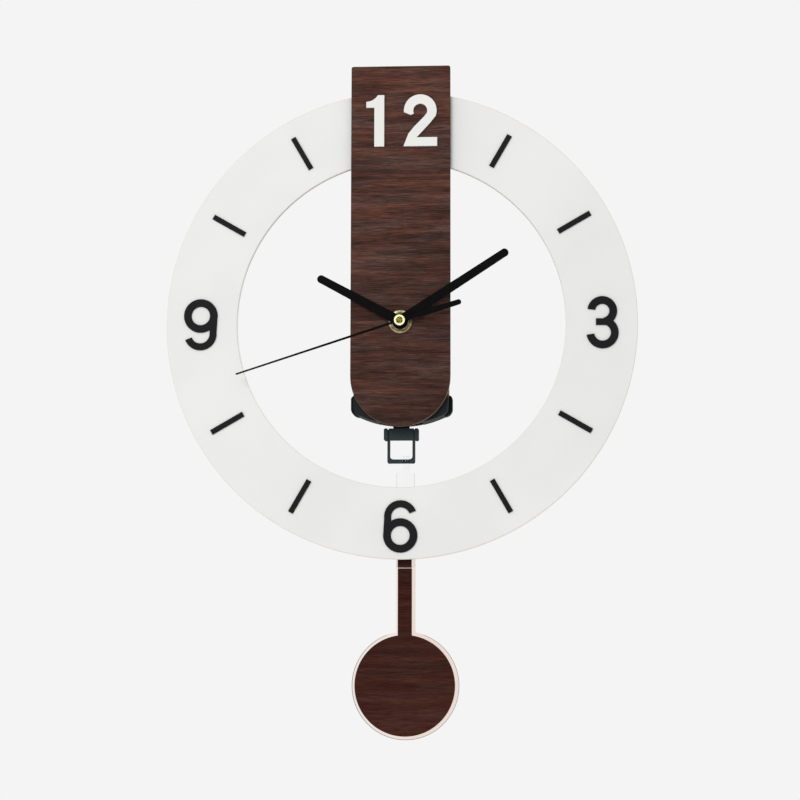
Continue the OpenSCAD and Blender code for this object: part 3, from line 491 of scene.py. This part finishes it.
# One entry per material slot of the CAD: what makes its material
FINISHES = {
    "board_edge": lambda: panel_core("board_edge"),
    "veneer_dark": lambda: veneer("veneer_dark", "panel_board", rgb(44, 26, 22), rgb(74, 47, 39),
                                  rgb(108, 66, 53), shift=0.0, fade=0.03),
    # the rod's top is darker by its negative fade: painted shade under the ring
    "bob_veneer": lambda: veneer("bob_veneer", "lower_veneer", rgb(44, 20, 15), rgb(60, 30, 24),
                                 rgb(78, 44, 35), shift=21.0, gloss=0.03, fade=-0.045,
                                 greying=0.9),
    "tape": lambda: foam("tape"),
    "ring_cream": lambda: ring_core("ring_cream"),
    "ring_grey": lambda: laminate("ring_grey", rgb(235, 235, 234), rgb(229, 229, 228), rough=0.55),
    "digit_white": lambda: plastic("digit_white", rgb(235, 236, 232), rgb(228, 229, 225),
                                   rough=0.5, gloss=0.25, grain=0.6, depth=0.012, edge=0.2),
    "digit_black": lambda: plastic("digit_black", rgb(31, 31, 33), rgb(24, 24, 26),
                                   rough=0.5, gloss=0.06, grain=0.4, depth=0.012, edge=0.15),
    # the lever below the movement is drawn lighter: painted light out of the panel's shade
    "case_black": lambda: plastic("case_black", rgb(36, 42, 44), rgb(28, 33, 35), rough=0.55,
                                  gloss=0.05, wear_and_painted_light=rgb(52, 62, 65)),
    "gear_white": lambda: plastic("gear_white", rgb(228, 226, 216), rgb(212, 209, 198), rough=0.35,
                                  gloss=0.5, grain=0.8, depth=0.01, edge=0.1),
    "brass": lambda: turned("brass", rgb(166, 158, 122), rgb(104, 96, 62), rough=0.34,
                            pitch=0.35 * MM, depth=0.02 * MM),
    "brass_bright": lambda: hub_cap("brass_bright"),
    "rubber": lambda: plastic("rubber", rgb(30, 30, 30), rgb(20, 20, 20), rough=0.75, gloss=0.2,
                              grain=0.3, depth=0.03),
    "hand_black": lambda: lacquer("hand_black", rgb(16, 16, 17), rgb(9, 9, 10)),
    "steel": lambda: metal("steel", rgb(200, 202, 205), rgb(160, 162, 166), rough=0.28),
    "iron": lambda: metal("iron", rgb(150, 153, 158), rgb(112, 115, 120), rough=0.42,
                          stretch=(12, 1, 1)),
    "magnet": lambda: metal("magnet", rgb(96, 97, 102), rgb(70, 71, 75), rough=0.4),
    "pcb": lambda: circuit("pcb"),
    "cell": lambda: cell_wrap("cell"),
    "acrylic": lambda: acrylic("acrylic", "upper_strip", rgb(254, 254, 254), rgb(252, 252, 252),
                               rim=rgb(222, 223, 225), bend=1.13),
    # the plate is pinker toward its right: painted reflection of the veneer
    "acrylic_pale": lambda: acrylic("acrylic_pale", "lower_plate", rgb(250, 240, 234),
                                    rgb(246, 230, 219), rim=rgb(128, 120, 116), bend=1.4,
                                    disc=True),
}


def apply_finishes():
    """Gives every CAD node the finish of its material slot, and returns them by slot. The two
    copper windings run different ways, so each has a finish of its own."""
    made = {}
    for part in frame["record"]["subparts"]:
        slot, node = part["material_slot"], part["node"]
        if slot == "copper":
            along = "y" if node == "pendulum_coil" else "x"
            slot = "copper_" + along
            if slot not in made:
                made[slot] = winding(slot, rgb(214, 126, 78), rgb(142, 66, 36), along)
        elif slot not in made:
            made[slot] = FINISHES[slot]()
        mesh = frame["nodes"][node].data
        mesh.materials.clear()
        mesh.materials.append(made[slot])
    return made


# ------------------------------------------------------------- fine pieces


def add_piece(name, mesh, finish, body, slot, *replaced):
    """Adds a mesh that rides on a body and may replace CAD nodes. Its slot is not used."""
    mesh.materials.append(finish)
    piece = bpy.data.objects.new(name, mesh)
    scene.collection.objects.link(piece)
    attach(piece, body)
    if replaced:
        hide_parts(*replaced)


def rings_to_mesh(name, rings, smooth_angle=math.radians(35), capped=False):
    """A closed mesh through rings of points, joined last to first, or with a face at each end."""
    shape = bmesh.new()
    loops = [[shape.verts.new(point) for point in ring] for ring in rings]
    count = len(rings[0])
    if capped:
        shape.faces.new(loops[0])
        shape.faces.new(loops[-1])
    for one, other in zip(loops, loops[1:] + ([] if capped else loops[:1])):
        for i in range(count):
            shape.faces.new((one[i], one[(i + 1) % count], other[(i + 1) % count], other[i]))
    bmesh.ops.recalc_face_normals(shape, faces=shape.faces)
    for face in shape.faces:
        face.smooth = True
    for edge in shape.edges:
        if len(edge.link_faces) == 2 and edge.calc_face_angle(0.0) > smooth_angle:
            edge.smooth = False
    mesh = bpy.data.meshes.new(name)
    shape.to_mesh(mesh)
    shape.free()
    return mesh


def around_y(profile, count, reach=None):
    """Rings round the Y axis from (radius, depth) points, where depth runs to the front. Reach
    may give another radius and depth for an angle."""
    rings = []
    for radius, depth in profile:
        ring = []
        for i in range(count):
            angle = math.tau * i / count
            r, d = reach(radius, depth, angle) if reach else (radius, depth)
            ring.append((r * math.cos(angle), -d, r * math.sin(angle)))
        rings.append(ring)
    return rings


def grooved_washer(finish):
    """Brass dial washer with rolled edges and a groove near its rim."""
    low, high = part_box("brass_washer")
    outer, back, front = high.x, -high.y, -low.y
    bore, groove, half, deep, edge = (size * MM for size in (4.1, 6.7, 0.22, 0.18, 0.2))
    rounding = edge * 0.3
    profile = [
        (bore, back), (outer - edge, back), (outer, back + edge), (outer, front - edge),
        (outer - rounding, front - rounding), (outer - edge, front),
        (groove + half, front), (groove, front - deep), (groove - half, front),
        (bore + edge, front), (bore, front - edge),
    ]
    mesh = rings_to_mesh("washer_grooved", around_y(profile, 128))
    add_piece("washer_grooved", mesh, finish, "clock", "brass", "brass_washer")


def chamfered_nut(finish):
    """Hexagon nut whose corners are cut back by a cone on its front."""
    low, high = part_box("fixing_nut")
    corner, back, front = high.x, -high.y, -low.y
    flat = corner * math.cos(math.pi / 6)
    bore, seat, slope = 3.9 * MM, 0.25 * MM, math.tan(math.radians(30))
    cone, least_cut, hair = flat * 1.02, 0.02 * MM, 1e-6

    def reach(radius, depth, angle):
        """Leaves the bore round, and pulls the outer rings to the hexagon or the cone."""
        if radius < flat * 0.9:
            return radius, depth
        side = (angle + math.pi / 6) % (math.pi / 3) - math.pi / 6
        hexagon = flat / math.cos(math.pi / 6 - abs(side))
        if depth >= front - hair:
            return min(hexagon, cone), front
        if depth > back + hair:
            return hexagon, front - max(hexagon - cone, least_cut) * slope
        return hexagon, back

    middle = (back + front) / 2
    profile = [(bore, back), (corner, back), (corner, middle), (corner, front),
               (bore + seat, front), (bore, front - seat)]
    mesh = rings_to_mesh("nut_chamfered", around_y(profile, 144, reach), math.radians(12))
    add_piece("nut_chamfered", mesh, finish, "clock", "brass", "fixing_nut")


def rolled_cell(finish):
    """AA cell with rolled shoulders, a stepped terminal and a dished foot."""
    low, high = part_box("battery_cell")
    centre_y, centre_z = (low.y + high.y) / 2, (low.z + high.z) / 2
    radius, nub, nub_r, roll = high.z - centre_z, 1.3 * MM, 2.7 * MM, 0.45 * MM
    shoulder, rounding, sunk, count = high.x - nub, roll * 0.3, 0.2 * MM, 72
    profile = [
        (low.x + 0.25 * MM, 4.2 * MM), (low.x, 4.7 * MM), (low.x, radius - roll),
        (low.x + rounding, radius - rounding), (low.x + roll, radius),
        (shoulder - roll, radius), (shoulder - rounding, radius - rounding),
        (shoulder, radius - roll), (shoulder, radius - 2.6 * roll),
        (shoulder - sunk, radius - 3.2 * roll), (shoulder - sunk, nub_r),
        (high.x - 0.3 * MM, nub_r), (high.x - 0.1 * MM, nub_r - 0.1 * MM),
        (high.x, nub_r - 0.35 * MM),
    ]
    rings = [[(x, centre_y + r * math.cos(math.tau * i / count),
               centre_z + r * math.sin(math.tau * i / count)) for i in range(count)]
             for x, r in profile]
    mesh = rings_to_mesh("cell_rolled", rings, capped=True)
    add_piece("cell_rolled", mesh, finish, "battery", "cell", "battery_cell")


def knob_bar(finish):
    """Raised finger bar across the back of the setting knob, with sloped sides."""
    low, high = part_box("set_knob")
    centre_x, centre_z = (low.x + high.x) / 2, (low.z + high.z) / 2
    foot, crest = high.y - 0.05 * MM, high.y + 0.3 * MM
    length, width, slope, turn = 3.6 * MM, 0.75 * MM, 0.25 * MM, math.radians(25)
    count, rings = 48, []
    for y, inset in ((foot, 0.0), (crest - 0.08 * MM, slope), (crest, slope + 0.1 * MM)):
        ring = []
        for i in range(count):
            angle = math.tau * i / count
            end = math.copysign(length - width, math.cos(angle))
            x = end + (width - inset) * math.cos(angle)
            z = (width - inset) * math.sin(angle)
            ring.append((centre_x + x * math.cos(turn) - z * math.sin(turn), y,
                         centre_z + x * math.sin(turn) + z * math.cos(turn)))
        rings.append(ring)
    mesh = rings_to_mesh("knob_bar", rings, capped=True)
    add_piece("knob_bar", mesh, finish, "setting_knob", "gear_white")


# -------------------------------------------------------- light and camera


def area_light(name, place, target, size, power):
    """A round white lamp at a place, turned to its target."""
    lamp = bpy.data.lights.new(name, "AREA")
    lamp.shape, lamp.size, lamp.energy = "DISK", size, power
    holder = bpy.data.objects.new(name, lamp)
    holder.location = place
    holder.rotation_mode = "QUATERNION"
    holder.rotation_quaternion = (Vector(target) - Vector(place)).to_track_quat("-Z", "Y")
    scene.collection.objects.link(holder)


def studio():
    """Pale surroundings, a soft key from the upper left front, and soft fills.

    The camera sees the surroundings in the photograph's pale grey, also through clear pieces.
    All other rays take them as a white light of their own strength."""
    backdrop, surrounding_light = rgb(244, 244, 244), 0.60
    world = bpy.data.worlds.new("studio")
    world.use_nodes = True
    nodes, links = world.node_tree.nodes, world.node_tree.links
    seen = nodes["Background"]
    seen.inputs["Color"].default_value = backdrop
    light = nodes.new("ShaderNodeBackground")
    light.inputs["Color"].default_value = (1.0, 1.0, 1.0, 1.0)
    light.inputs["Strength"].default_value = surrounding_light
    path, pick, choose = (nodes.new(kind) for kind in (
        "ShaderNodeLightPath", "ShaderNodeMath", "ShaderNodeMixShader"))
    pick.operation = "MAXIMUM"
    links.new(path.outputs["Is Camera Ray"], pick.inputs[0])
    links.new(path.outputs["Is Transmission Ray"], pick.inputs[1])
    links.new(pick.outputs["Value"], choose.inputs["Fac"])
    links.new(light.outputs["Background"], choose.inputs[1])
    links.new(seen.outputs["Background"], choose.inputs[2])
    links.new(choose.outputs["Shader"], nodes["World Output"].inputs["Surface"])
    scene.world = world
    scene.view_settings.view_transform = "Standard"
    centre = (0.0, 0.0, -0.05)
    area_light("key", (-1.3, -4.4, 1.7), centre, size=2.2, power=90)
    area_light("back_fill", (1.2, 2.0, 0.9), centre, size=1.2, power=22)
    area_light("side_fill", (-1.9, 0.9, 0.3), centre, size=1.0, power=8)


def floor():
    """Plain pale floor below the clock, out of the photograph's view."""
    half, level, relief = 2.4, cad_box[0][2] - 0.3, 0.05 * MM
    finish = Finish("floor_pale", rough=0.8, gloss=0.2)
    drift = finish.noise(120 * MM, detail=3.0)
    finish.colour(finish.ramp(drift, (0.3, rgb(236, 236, 235)), (0.7, rgb(240, 240, 239))))
    finish.bump(finish.noise(3 * MM), relief)
    shape = bmesh.new()
    bmesh.ops.create_grid(shape, x_segments=4, y_segments=4, size=half,
                          matrix=Matrix.Translation((0, 0, level)))
    mesh = bpy.data.meshes.new("floor")
    shape.to_mesh(mesh)
    shape.free()
    mesh.materials.append(finish.material)
    plane = bpy.data.objects.new("floor", mesh)
    scene.collection.objects.link(plane)


def camera():
    """Camera where the photograph was taken: a little to the right and below, looking up.

    The place and angles were solved from the photograph's ring, bars and panel corners."""
    place, focal_length = (0.10574, -1.61476, -0.23290), 97.79
    yaw, pitch, roll = (math.radians(angle) for angle in (-3.817, 6.278, 0.125))
    forward = Vector((math.sin(yaw) * math.cos(pitch), math.cos(yaw) * math.cos(pitch),
                      math.sin(pitch)))
    level = Vector((math.cos(yaw), -math.sin(yaw), 0.0))
    upright = level.cross(forward)
    right = math.cos(roll) * level + math.sin(roll) * upright
    up = math.cos(roll) * upright - math.sin(roll) * level
    lens = bpy.data.cameras.new("camera")
    lens.lens, lens.sensor_width = focal_length, 36.0
    lens.clip_start, lens.clip_end = 0.05, 50.0
    holder = bpy.data.objects.new("camera", lens)
    turn = Matrix((right, up, -forward)).transposed().to_4x4()
    holder.matrix_world = Matrix.Translation(place) @ turn
    scene.collection.objects.link(holder)
    scene.camera = holder


finishes = apply_finishes()
grooved_washer(finishes["brass"])
chamfered_nut(finishes["brass"])
rolled_cell(finishes["cell"])
knob_bar(finishes["gear_white"])
studio()
floor()
camera()

bpy.context.view_layer.update()
